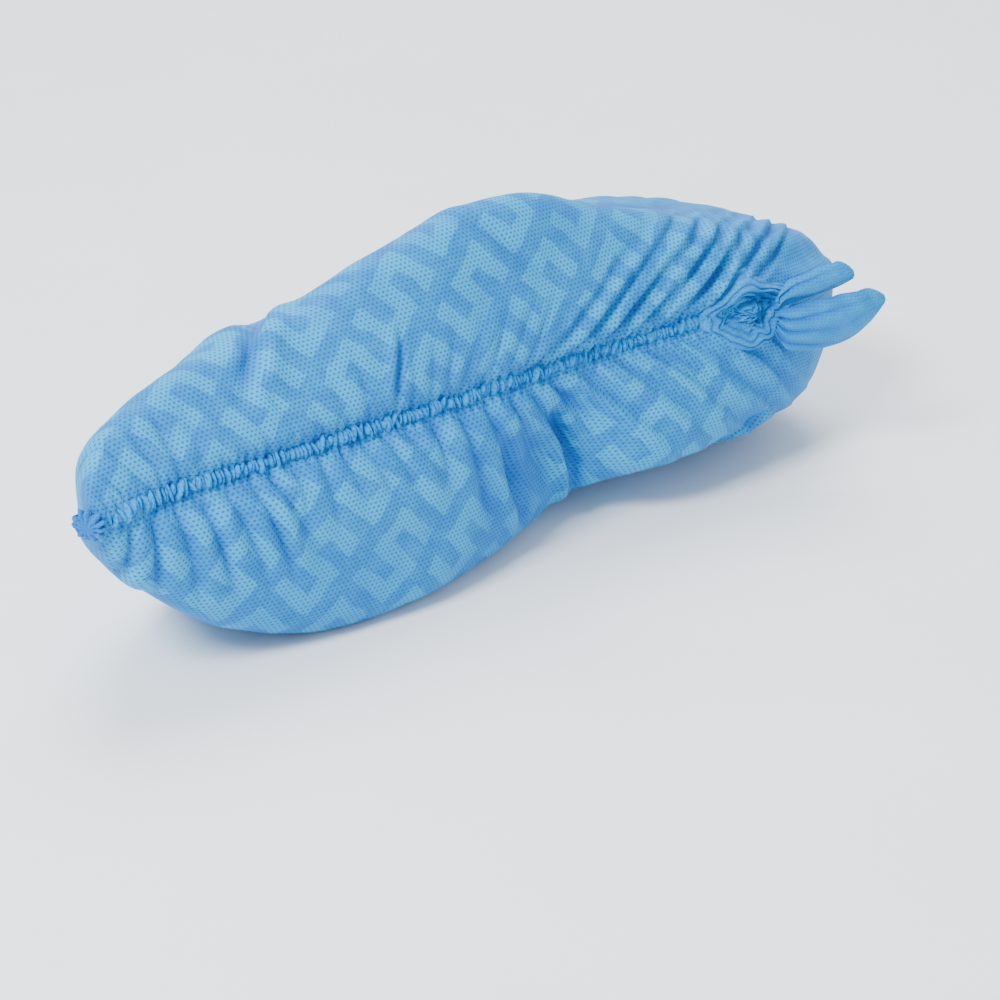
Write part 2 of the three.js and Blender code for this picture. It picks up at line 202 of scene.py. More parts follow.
@dataclass
class CoverForm:
    """The smooth form of the cover: its sections, its seam and its foot opening, in millimetres."""

    seam_height: float = 70.0
    seam_fall: float = 0.2
    valley_depth: float = 5.0
    valley_half: float = 7.0
    valley_toe: float = -150.0
    valley_heel: float = 132.0
    valley_fade: float = 14.0
    mouth_x: float = 58.0
    mouth_z: float = 49.0
    mouth_half_length: float = 86.0
    mouth_half_height: float = 34.0
    # Shares of the reach backwards, and of the height, of the back's outline points.
    back_high: tuple[float, float] = (0.97, 0.74)
    back_low: tuple[float, float] = (0.96, 0.16)
    under_reach: float = 0.62
    shift: np.ndarray = field(default_factory=lambda: np.zeros(3))

    def column(self, name: str, t: np.ndarray) -> np.ndarray:
        """One column of the sections' table at row places t."""
        return between_rows(SECTIONS[:, SECTION_COLUMNS.index(name)], t)

    def outline(self, t: np.ndarray) -> np.ndarray:
        """The points that the sections' outlines pass through.

        Args:
            t: The row places.

        Returns:
            An array of rows, nine points and (y, z).
        """
        c = {name: self.column(name, t) for name in SECTION_COLUMNS}
        seam_z = self.seam_height - self.seam_fall * c["seam_y"]
        middle = (c["shoulder_y"] + c["foot_y"]) / 2
        reach = c["back_y"] - middle
        height = c["shoulder_z"] - c["under_z"]
        pairs = (
            (c["seam_y"], seam_z),
            ((c["seam_y"] + c["ridge_y"]) / 2 - c["swell"], (seam_z + c["ridge_z"]) / 2),
            (c["ridge_y"], c["ridge_z"]),
            (c["shoulder_y"], c["shoulder_z"]),
            (middle + reach * self.back_high[0], c["under_z"] + height * self.back_high[1]),
            (middle + reach * self.back_low[0], c["under_z"] + height * self.back_low[1]),
            (middle + reach * self.under_reach, c["under_z"]),
            (c["foot_y"], c["foot_z"]),
            (c["belly_y"], c["belly_z"]),
        )
        return np.stack([np.stack(pair, -1) for pair in pairs], 1)

    def skin(self, t: np.ndarray, v: np.ndarray) -> np.ndarray:
        """Points on the cloth.

        Args:
            t: The row places.
            v: For each row, the shares of the way round, 0 and 1 at the seam.

        Returns:
            An array of rows, points and (x, y, z).
        """
        keys = self.outline(t)
        place = v * keys.shape[1]
        i = np.floor(place).astype(int)
        rows = np.arange(len(t))[:, None]
        at = [keys[rows, (i + k) % keys.shape[1]] for k in (-1, 0, 1, 2)]
        yz = hermite(*at, (place - i)[..., None])
        x = np.repeat(self.column("x", t)[:, None], v.shape[1], 1)
        rise = smoothstep(x, self.valley_toe - self.valley_fade, self.valley_toe + self.valley_fade)
        fall = smoothstep(x, self.valley_heel - self.valley_fade, self.valley_heel + self.valley_fade)
        reach = (yz[..., 1] - self.plane(yz[..., 0])) / self.valley_half
        front = (v < 0.25) | (v > 0.75)
        y = yz[..., 0] + front * self.valley_depth * rise * (1 - fall) * np.exp(-reach * reach)
        return np.stack((x, y, np.maximum(yz[..., 1], 0)), -1)

    def plane(self, y: np.ndarray) -> np.ndarray:
        """The height of the plane that the two panels meet on."""
        return self.seam_height - self.seam_fall * y

    def panel_end(self, t: np.ndarray, side: Side) -> np.ndarray:
        """Where a panel ends on the back: at the foot opening, or at the seam past it.

        Args:
            t: The row places.
            side: Which panel.

        Returns:
            The share v of the way round, one for each row.
        """
        low, high = np.full(len(t), 3 * NINTH), np.full(len(t), 6 * NINTH)
        x = self.column("x", t)
        across = np.sqrt(np.clip(1 - ((x - self.mouth_x) / self.mouth_half_length) ** 2, 0, 1))
        lip = self.mouth_z + side.value * self.mouth_half_height * across
        for _ in range(HALVINGS):
            middle = (low + high) / 2
            p = self.skin(t, middle[:, None])[:, 0]
            plane = self.plane(p[:, 1])
            edge = np.where(across > 0, side.value * np.maximum(side.value * plane, side.value * lip), plane)
            above = p[:, 2] > edge
            low, high = np.where(above, middle, low), np.where(above, high, middle)
        return (low + high) / 2

    def row_at(self, x: np.ndarray) -> np.ndarray:
        """The row places whose sections lie at x."""
        t = np.linspace(0, len(SECTIONS) - 1, 2000)
        return np.interp(x, self.column("x", t), t)

    def settle(self) -> None:
        """Finds the shift from these sections to the frame, from the lower panel's box."""
        low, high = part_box("lower_panel")
        t = np.linspace(0, len(SECTIONS) - 1, 400)
        front = self.skin(t, np.linspace(0.75, 1, 60)[None, :].repeat(len(t), 0))
        self.shift = np.array((high.x / MM - SECTIONS[-1, 0], low.y / MM - front[..., 1].min(), 0.0))

    def place(self, points: np.ndarray) -> np.ndarray:
        """Moves points from the sections' millimetres to the frame's metres."""
        return (points + self.shift) * MM


@dataclass(frozen=True)
class Folds:
    """A family of folds beside the seam: along it from start to end, and off it from low to high.

    Lengths are in millimetres. The last four fields shape one fold: how sharp a crease is, the
    share of a tucked fold that rises, the fade at the family's ends and the fold's middle level.
    """

    start: float
    end: float
    low: float
    high: float
    pitch: float
    height: float
    lean: float = 0.0
    fan: float = 0.0
    wander: float = 0.3
    profile: Profile = Profile.CREASED
    seed: int = 1
    crease: float = 0.85
    tucked_rise: float = 0.8
    fade: float = 14.0
    level: float = 0.55

    def relief(self, x: np.ndarray, off: np.ndarray) -> np.ndarray:
        """How far the cloth stands out.

        Args:
            x: The place along the seam.
            off: The distance from the seam over the cloth.

        Returns:
            Heights in millimetres.
        """
        middle = (self.start + self.end) / 2
        uneven = ripple_noise(x / (2.2 * self.pitch), off / (5 * self.pitch), self.seed)
        turn = (x - self.lean * off - middle) / (self.pitch * (1 + self.fan * off)) + self.wander * uneven
        if self.profile is Profile.ROUND:
            shape = 0.5 + 0.5 * np.cos(2 * np.pi * turn)
        elif self.profile is Profile.CREASED:
            shape = np.abs(np.cos(np.pi * turn)) ** self.crease
        else:
            saw = turn - np.floor(turn)
            rise = self.tucked_rise
            shape = np.where(saw < rise, saw / rise, (1 - saw) / (1 - rise))
            shape = shape * shape * (3 - 2 * shape)
        edge = min(self.fade, (self.end - self.start) / 3)
        root = x - self.lean * off
        window = smoothstep(root, self.start - edge, self.start + edge)
        window = window * (1 - smoothstep(root, self.end - edge, self.end + edge))
        span = self.high - self.low
        window = window * smoothstep(off, self.low - 1.5, self.low + 0.18 * span)
        window = window * (1 - smoothstep(off, self.low + 0.4 * span, self.high))
        size = 0.75 + 0.35 * ripple_noise(x / (1.3 * self.pitch), off / (3 * self.pitch), self.seed + 50)
        return self.height * window * size * (shape - self.level)


@dataclass(frozen=True)
class Tuck:
    """A pinched line in the cloth from one place to another, with a soft lip on one side."""

    x_a: float
    off_a: float
    x_b: float
    off_b: float
    width: float
    depth: float
    lip: float = 0.6

    def relief(self, x: np.ndarray, off: np.ndarray) -> np.ndarray:
        """How far the cloth stands out, as Folds gives it."""
        dx, ds = self.x_b - self.x_a, self.off_b - self.off_a
        length = math.hypot(dx, ds)
        along = ((x - self.x_a) * dx + (off - self.off_a) * ds) / length
        across = ((x - self.x_a) * -ds + (off - self.off_a) * dx) / length
        across = across + 0.8 * ripple_noise(along / 9, across * 0, 7)
        ends = smoothstep(along, -0.1 * length, 0.3 * length)
        ends = ends * (1 - smoothstep(along, 0.6 * length, 1.1 * length))
        groove = -self.depth * np.exp(-(across / self.width) ** 2)
        lip = self.lip * self.depth * np.exp(-((across - 1.9 * self.width) / (1.3 * self.width)) ** 2)
        return ends * (groove + lip)


@dataclass(frozen=True)
class Bulge:
    """A soft swelling or hollow of the cloth."""

    x: float
    off: float
    half_x: float
    half_off: float
    height: float

    def relief(self, x: np.ndarray, off: np.ndarray) -> np.ndarray:
        """How far the cloth stands out, as Folds gives it."""
        reach = ((x - self.x) / self.half_x) ** 2 + ((off - self.off) / self.half_off) ** 2
        return self.height * np.exp(-reach)


# The small puckers along both sides of the seam.
PUCKERS = Folds(-172, 128, 0, 10, 3.6, 1.7, wander=0.6, seed=2)
UPPER_RELIEF = (
    PUCKERS,
    Folds(-170, -112, 1, 52, 7.5, 1.9, lean=-0.5, fan=0.02, seed=3),
    Folds(-118, -46, 1, 42, 9.0, 1.5, lean=-0.25, fan=0.01, seed=4),
    Folds(-52, 22, 1, 38, 8.0, 1.7, lean=0.6, fan=0.01, seed=5),
    Folds(2, 110, 1, 60, 16.0, 4.2, lean=1.9, fan=0.004, wander=0.2, profile=Profile.TUCKED, seed=6),
    Folds(20, 112, 1, 40, 7.0, 1.5, lean=1.7, seed=7),
    Folds(70, 190, 18, 70, 13.0, 1.8, lean=0.6, wander=0.4, profile=Profile.ROUND, seed=8),
    Tuck(-69, 74, -105, 22, 3.6, 4.2),
    Tuck(-48, 6, -38, 34, 1.7, 2.4),
    Tuck(-12, 74, 30, 32, 3.0, 1.4),
    Bulge(-91, 58, 13, 22, 3.4),
    Bulge(90, 62, 30, 9, -3.2),
    Bulge(86, 94, 44, 18, 3.0),
)
LOWER_RELIEF = (
    PUCKERS,
    Folds(-174, -92, 0.5, 52, 8.5, 4.4, lean=0.1, fan=0.012, wander=0.2, seed=12),
    Folds(-100, -36, 1, 38, 9.5, 2.8, lean=0.2, fan=0.01, seed=13),
    Folds(-42, 30, 1.5, 58, 11.5, 5.4, lean=0.45, fan=0.012, wander=0.2, seed=14),
    Folds(20, 112, 1, 64, 14.0, 4.0, lean=0.95, fan=0.004, profile=Profile.TUCKED, seed=15),
    Folds(24, 118, 1, 38, 6.5, 1.5, lean=1.1, seed=16),
    Tuck(24, 12, 46, 66, 2.8, 4.0, lip=0.9),
    Tuck(92, 74, 126, 40, 2.6, 3.4),
    Tuck(-2, 18, 12, 60, 3.6, 3.2),
    Bulge(6, 40, 24, 24, -3.0),
    Bulge(66, 40, 26, 20, 2.4),
)


@dataclass
class ClothGrid:
    """A sheet of cloth as rows of points, with its own lengths, its print's strength and its painted shade,
    darker where it lies deep in the folds.
    """

    points: np.ndarray
    lengths: np.ndarray
    deep: np.ndarray
    printed: np.ndarray

    def mesh_object(self, name: str) -> bpy.types.Object:
        """Makes the sheet a mesh object.

        Args:
            name: The piece's name.

        Returns:
            The object, with the cloth's lengths as its UV map and two attributes: the painted shade of the
            folds and the print's strength.
        """
        rows, across = self.points.shape[:2]
        index = np.arange(rows * across).reshape(rows, across)
        faces = np.stack((index[:-1, :-1], index[1:, :-1], index[1:, 1:], index[:-1, 1:]), -1).reshape(-1, 4)
        mesh = bpy.data.meshes.new(name)
        mesh.from_pydata(self.points.reshape(-1, 3).tolist(), [], faces.tolist())
        uv = mesh.uv_layers.new(name=CLOTH_UV)
        corner = np.zeros(len(mesh.loops), int)
        mesh.loops.foreach_get("vertex_index", corner)
        uv.data.foreach_set("uv", self.lengths.reshape(-1, 2)[corner].ravel())
        for label, values in (("deep", self.deep), ("printed", self.printed)):
            layer = mesh.attributes.new(label, "FLOAT", "POINT")
            layer.data.foreach_set("value", values.ravel().astype(float))
        obj = add_object(name, mesh)
        clean_mesh(obj)
        return obj


def add_object(name: str, mesh: bpy.types.Mesh) -> bpy.types.Object:
    """Adds a mesh to the scene.

    Args:
        name: The object's name.
        mesh: Its mesh.

    Returns:
        The new object.
    """
    obj = bpy.data.objects.new(name, mesh)
    bpy.context.scene.collection.objects.link(obj)
    return obj


def clean_mesh(obj: bpy.types.Object) -> None:
    """Merges doubled points, drops faces without area and smooths the shading."""
    work = bmesh.new()
    work.from_mesh(obj.data)
    bmesh.ops.remove_doubles(work, verts=work.verts, dist=DOUBLED)
    bmesh.ops.dissolve_degenerate(work, edges=work.edges, dist=DEGENERATE)
    work.to_mesh(obj.data)
    work.free()
    obj.data.shade_smooth()


def add_wall(obj: bpy.types.Object, thickness: float) -> None:
    """Gives a sheet its thickness, inwards from its outer face.

    Args:
        obj: The sheet.
        thickness: In metres.
    """
    solid = obj.modifiers.new("wall", "SOLIDIFY")
    solid.thickness = thickness
    solid.offset = -1
    bake_modifiers(obj)


def face_outwards(obj: bpy.types.Object) -> None:
    """Turns a sheet's faces away from the middle of the cover, where they point inwards."""
    middle = (CAD_BOX[0] + CAD_BOX[1]) / 2
    if sum(face.area * face.normal.dot(face.center - middle) for face in obj.data.polygons) < 0:
        obj.data.flip_normals()


def dress(obj: bpy.types.Object, finish: "ClothFinish", node: str | None) -> None:
    """Gives a piece its finish and its place in the frame.

    Args:
        obj: The piece.
        finish: Its finish.
        node: The CAD node that it stands for, if it has one.
    """
    obj.data.materials.clear()
    obj.data.materials.append(finish.material())
    obj.data.polygons.foreach_set("material_index", [0] * len(obj.data.polygons))
    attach(obj, "root")
    if node:
        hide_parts(node)


def bake_modifiers(obj: bpy.types.Object) -> None:
    """Turns the modified shape into the object's own mesh."""
    graph = bpy.context.evaluated_depsgraph_get()
    mesh = bpy.data.meshes.new_from_object(obj.evaluated_get(graph), preserve_all_data_layers=True,
                                           depsgraph=graph)
    obj.modifiers.clear()
    old = obj.data
    obj.data = mesh
    bpy.data.meshes.remove(old)
    mesh.name = obj.name


def outward(points: np.ndarray, centre: np.ndarray) -> np.ndarray:
    """The directions out of a grid of points.

    Args:
        points: Rows of points.
        centre: A point inside each row, one for each row.

    Returns:
        Unit vectors, one for each point.
    """
    along = np.gradient(points, axis=0)
    across = np.gradient(points, axis=1)
    normal = np.cross(across, along)
    normal /= np.maximum(np.linalg.norm(normal, axis=-1, keepdims=True), 1e-9)
    away = points - centre[:, None, :]
    if (normal * away).sum() < 0:
        normal = -normal
    return normal


class Wiring:
    """Adds nodes to one tree and joins them."""

    def __init__(self, tree: bpy.types.NodeTree) -> None:
        """Keeps the tree."""
        self.tree = tree

    def node(self, kind: str, inputs: dict[Any, Any] | None = None, **settings: Any) -> bpy.types.Node:
        """Adds a node.

        Args:
            kind: The node's type.
            inputs: A value or a socket for each input named or numbered.
            **settings: The node's own settings.

        Returns:
            The node.
        """
        made = self.tree.nodes.new(kind)
        for name, value in settings.items():
            setattr(made, name, value)
        for key, value in (inputs or {}).items():
            self.feed(made, key, value)
        return made

    def feed(self, node: bpy.types.Node, key: Any, value: Any) -> None:
        """Gives an input of a node, named or numbered, a value or a link from a socket."""
        if isinstance(value, bpy.types.NodeSocket):
            self.tree.links.new(value, node.inputs[key])
        else:
            node.inputs[key].default_value = value

    def math(self, operation: str, a: Any, b: Any = 0.0, c: Any = 0.0) -> bpy.types.NodeSocket:
        """One sum on numbers, such as ADD; returns its result's socket."""
        return self.node("ShaderNodeMath", {0: a, 1: b, 2: c}, operation=operation).outputs[0]

    def blend(self, factor: Any, a: Any, b: Any) -> bpy.types.NodeSocket:
        """A colour between a and b; returns its socket."""
        mix = self.node("ShaderNodeMix", data_type="RGBA")
        for key, value in ((0, factor), (6, a), (7, b)):
            self.feed(mix, key, value)
        return mix.outputs[2]

    def ramp(self, value: Any, low: float, high: float, start: float = 0.0, end: float = 1.0
             ) -> bpy.types.NodeSocket:
        """A smooth step from start to end as value goes from low to high; returns its socket."""
        node = self.node("ShaderNodeMapRange", {0: value, 1: low, 2: high, 3: start, 4: end},
                         interpolation_type="SMOOTHSTEP")
        return node.outputs[0]


def new_group(name: str, inputs: Sequence[tuple[str, str, float]], outputs: Sequence[tuple[str, str]],
              fill: Callable[[Wiring, bpy.types.Node, bpy.types.Node], None]) -> bpy.types.NodeTree:
    """A shader node group, built once.

    Args:
        name: The group's name.
        inputs: Name, socket type and value of each input.
        outputs: Name and socket type of each output.
        fill: Adds the nodes between the group's two ends.

    Returns:
        The group.
    """
    if name in bpy.data.node_groups:
        return bpy.data.node_groups[name]
    tree = bpy.data.node_groups.new(name, "ShaderNodeTree")
    for label, kind, value in inputs:
        socket = tree.interface.new_socket(label, in_out="INPUT", socket_type=kind)
        if kind == "NodeSocketFloat":
            socket.default_value = value
    for label, kind in outputs:
        tree.interface.new_socket(label, in_out="OUTPUT", socket_type=kind)
    wiring = Wiring(tree)
    fill(wiring, wiring.node("NodeGroupInput"), wiring.node("NodeGroupOutput"))
    return tree


def embossed_dots() -> bpy.types.NodeTree:
    """The group for the small pressed points of the cloth, in staggered rows."""
    def fill(w: Wiring, start: bpy.types.Node, end: bpy.types.Node) -> None:
        """Measures the distance to the middle of the nearest point."""
        scaled = w.node("ShaderNodeVectorMath", {0: start.outputs["Place"]}, operation="DIVIDE")
        spread = w.node("ShaderNodeCombineXYZ", {0: start.outputs["Pitch"], 1: start.outputs["Row"], 2: 1.0})
        w.tree.links.new(spread.outputs[0], scaled.inputs[1])
        parts = w.node("ShaderNodeSeparateXYZ", {0: scaled.outputs[0]})
        row = w.math("FLOOR", parts.outputs[1])
        odd = w.math("FLOORED_MODULO", row, 2.0)
        x = w.math("MULTIPLY_ADD", odd, 0.5, parts.outputs[0])
        x = w.math("SUBTRACT", w.math("FRACT", x), 0.5)
        y = w.math("SUBTRACT", w.math("FRACT", parts.outputs[1]), 0.5)
        far = w.math("SQRT", w.math("ADD", w.math("MULTIPLY", x, x), w.math("MULTIPLY", y, y)))
        mask = w.ramp(far, 0.16, 0.34, 1.0, 0.0)
        w.tree.links.new(mask, end.inputs[0])
    inputs = (("Place", "NodeSocketVector", 0), ("Pitch", "NodeSocketFloat", 1.8),
              ("Row", "NodeSocketFloat", 1.5))
    return new_group("embossed_dots", inputs, (("Mask", "NodeSocketFloat"),), fill)


@dataclass(frozen=True)
class TreadPrint:
    """The printed grip pattern: a key of bars in a repeating block, in stroke widths."""

    stroke: float = 6.4
    across: float = 4.0
    along: float = 6.0
    turn: float = math.radians(47)
    # Middle and half size of each bar of the block.
    bars: tuple[tuple[float, float, float, float], ...] = (
        (1.5, 0.5, 1.5, 0.5),
        (2.5, 1.5, 0.5, 0.9),
        (1.5, 2.5, 1.5, 0.5),
        (0.5, 3.5, 0.5, 0.9),
        (1.5, 4.5, 1.5, 0.5),
    )

    def group(self) -> bpy.types.NodeTree:
        """The node group that gives 1 on the printed bars."""
        def fill(w: Wiring, start: bpy.types.Node, end: bpy.types.Node) -> None:
            """Repeats the block and measures the distance to its bars."""
            wobble = w.node("ShaderNodeTexNoise", {"Vector": start.outputs["Place"], "Scale": 0.12,
                                                   "Detail": 1.0})
            moved = w.node("ShaderNodeVectorMath", {0: wobble.outputs["Color"], 1: (4.0, 4.0, 0.0)},
                           operation="MULTIPLY")
            place = w.node("ShaderNodeVectorMath", {0: start.outputs["Place"], 1: moved.outputs[0]},
                           operation="ADD")
            turned = w.node("ShaderNodeVectorRotate", {"Vector": place.outputs[0], "Angle": self.turn},
                            rotation_type="Z_AXIS")
            parts = w.node("ShaderNodeSeparateXYZ", {0: turned.outputs[0]})
            p = w.math("DIVIDE", parts.outputs[0], start.outputs["Stroke"])
            q = w.math("DIVIDE", parts.outputs[1], start.outputs["Stroke"])
            column = w.math("FLOOR", w.math("DIVIDE", p, self.across))
            odd = w.math("FLOORED_MODULO", column, 2.0)
            p = w.math("FLOORED_MODULO", p, self.across)
            q = w.math("FLOORED_MODULO", w.math("MULTIPLY_ADD", odd, self.along / 2, q), self.along)
            nearest = None
            for middle_p, middle_q, half_p, half_q in self.bars:
                a = w.math("SUBTRACT", w.math("ABSOLUTE", w.math("SUBTRACT", p, middle_p)), half_p)
                b = w.math("SUBTRACT", w.math("ABSOLUTE", w.math("SUBTRACT", q, middle_q)), half_q)
                far = w.math("MAXIMUM", a, b)
                nearest = far if nearest is None else w.math("MINIMUM", nearest, far)
            mask = w.ramp(nearest, -0.08, 0.06, 1.0, 0.0)
            w.tree.links.new(mask, end.inputs[0])
        inputs = (("Place", "NodeSocketVector", 0), ("Stroke", "NodeSocketFloat", self.stroke))
        return new_group("tread_print", inputs, (("Mask", "NodeSocketFloat"),), fill)


def bonded_fibres() -> bpy.types.NodeTree:
    """The group for the cloudy, streaky fibres of the cloth."""
    def fill(w: Wiring, start: bpy.types.Node, end: bpy.types.Node) -> None:
        """Mixes a coarse cloud and fine streaks."""
        cloud = w.node("ShaderNodeTexNoise", {"Vector": start.outputs["Place"], "Scale": 0.16, "Detail": 4.0,
                                              "Roughness": 0.6})
        fine = w.node("ShaderNodeTexNoise", {"Vector": start.outputs["Place"], "Scale": 1.7, "Detail": 3.0,
                                             "Roughness": 0.65})
        w.tree.links.new(cloud.outputs["Fac"], end.inputs[0])
        w.tree.links.new(fine.outputs["Fac"], end.inputs[1])
    return new_group("bonded_fibres", (("Place", "NodeSocketVector", 0),),
                     (("Cloud", "NodeSocketFloat"), ("Fine", "NodeSocketFloat")), fill)


@dataclass(frozen=True)
class ClothFinish:
    """The finish of one kind of cloth."""

    name: str
    base: tuple[float, float, float]
    # The darker blue of painted shade, mixed into fold valleys and beside the seam.
    deep: tuple[float, float, float]
    pressed: tuple[float, float, float]
    printed: tuple[float, float, float]
    print_strength: float
    dot_strength: float
    pitch: float = 1.8
    sheen: float = 0.03
    rough: float = 0.62
    follows: Coordinates = Coordinates.CLOTH
    row_share: float = 0.84
    sheen_tint: tuple[float, float, float, float] = (0.75, 0.92, 1.0, 1.0)
    bump: float = 0.35
    bump_depth: float = 0.3 * MM

    def material(self) -> bpy.types.Material:
        """Builds the material, once."""
        if self.name in bpy.data.materials:
            return bpy.data.materials[self.name]
        made = bpy.data.materials.new(self.name)
        made.use_nodes = True
        made.node_tree.nodes.clear()
        w = Wiring(made.node_tree)
        if self.follows is Coordinates.CLOTH:
            place = w.node("ShaderNodeUVMap", uv_map=CLOTH_UV).outputs[0]
        else:
            here = w.node("ShaderNodeTexCoord").outputs["Object"]
            scaled = w.node("ShaderNodeVectorMath", {0: here, "Scale": 1 / MM}, operation="SCALE").outputs[0]
            place = w.node("ShaderNodeVectorRotate", {"Vector": scaled, "Angle": math.pi / 2},
                           rotation_type="X_AXIS").outputs[0]
        dots = w.node("ShaderNodeGroup", node_tree=embossed_dots())
        fibres = w.node("ShaderNodeGroup", node_tree=bonded_fibres())
        w.tree.links.new(place, dots.inputs["Place"])
        w.tree.links.new(place, fibres.inputs["Place"])
        dots.inputs["Pitch"].default_value = self.pitch
        dots.inputs["Row"].default_value = self.row_share * self.pitch
        cloudy = w.ramp(fibres.outputs["Cloud"], 0.35, 0.68, 0.0, 0.35)
        colour = w.blend(cloudy, (*self.base, 1), (*self.printed, 1))
        if self.print_strength > 0:
            tread = w.node("ShaderNodeGroup", node_tree=TreadPrint().group())
            w.tree.links.new(place, tread.inputs["Place"])
            shown = w.node("ShaderNodeAttribute", attribute_name="printed").outputs["Fac"]
            speckle = w.ramp(fibres.outputs["Fine"], 0.3, 0.62, 0.55, 1.0)
            amount = w.math("MULTIPLY", tread.outputs[0], w.math("MULTIPLY", shown, speckle))
            amount = w.math("MULTIPLY", amount, self.print_strength)
            colour = w.blend(amount, colour, (*self.printed, 1))
        # Painted shade: mixes in the darker blue where the cloth's attribute marks fold valleys and the
        # seam.
        if self.follows is Coordinates.CLOTH:
            depth = w.node("ShaderNodeAttribute", attribute_name="deep").outputs["Fac"]
            colour = w.blend(depth, colour, (*self.deep, 1))
        uneven = w.ramp(fibres.outputs["Fine"], 0.25, 0.7, 0.55, 1.0)
        pressed = w.math("MULTIPLY", w.math("MULTIPLY", dots.outputs[0], uneven), self.dot_strength)
        colour = w.blend(pressed, colour, (*self.pressed, 1))
        height = w.math("MULTIPLY_ADD", dots.outputs[0], -1.0, fibres.outputs["Fine"])
        bump = w.node("ShaderNodeBump", {"Strength": self.bump, "Distance": self.bump_depth,
                                              "Height": height})
        shader = w.node("ShaderNodeBsdfPrincipled", {
            "Base Color": colour, "Roughness": self.rough, "Normal": bump.outputs[0],
            "Sheen Weight": self.sheen, "Sheen Roughness": 0.5, "Sheen Tint": self.sheen_tint,
            "IOR": 1.42, "Specular IOR Level": 0.22})
        end = w.node("ShaderNodeOutputMaterial")
        w.tree.links.new(shader.outputs[0], end.inputs[0])
        return made


# In each finish, the second colour is painted shade for the folds; pressed is the embossed dots' own darker
# blue.
PRINTED_CLOTH = ClothFinish(
    name="printed_cloth", base=(0.0, 0.19, 0.53), deep=(0.0, 0.12, 0.50), pressed=(0.0, 0.055, 0.22),
    printed=(0.01, 0.38, 0.72), print_strength=0.88, dot_strength=0.85)
GATHERED_CLOTH = ClothFinish(
    name="gathered_cloth", base=(0.0, 0.235, 0.60), deep=(0.0, 0.14, 0.50), pressed=(0.0, 0.09, 0.34),
    printed=(0.0, 0.33, 0.70), print_strength=0.0, dot_strength=0.6, follows=Coordinates.PLACE)
PLAIN_CLOTH = ClothFinish(
    name="plain_cloth", base=(0.0, 0.22, 0.56), deep=(0.0, 0.11, 0.46), pressed=(0.0, 0.07, 0.28),
    printed=(0.03, 0.38, 0.70), print_strength=0.0, dot_strength=0.55, pitch=1.3)


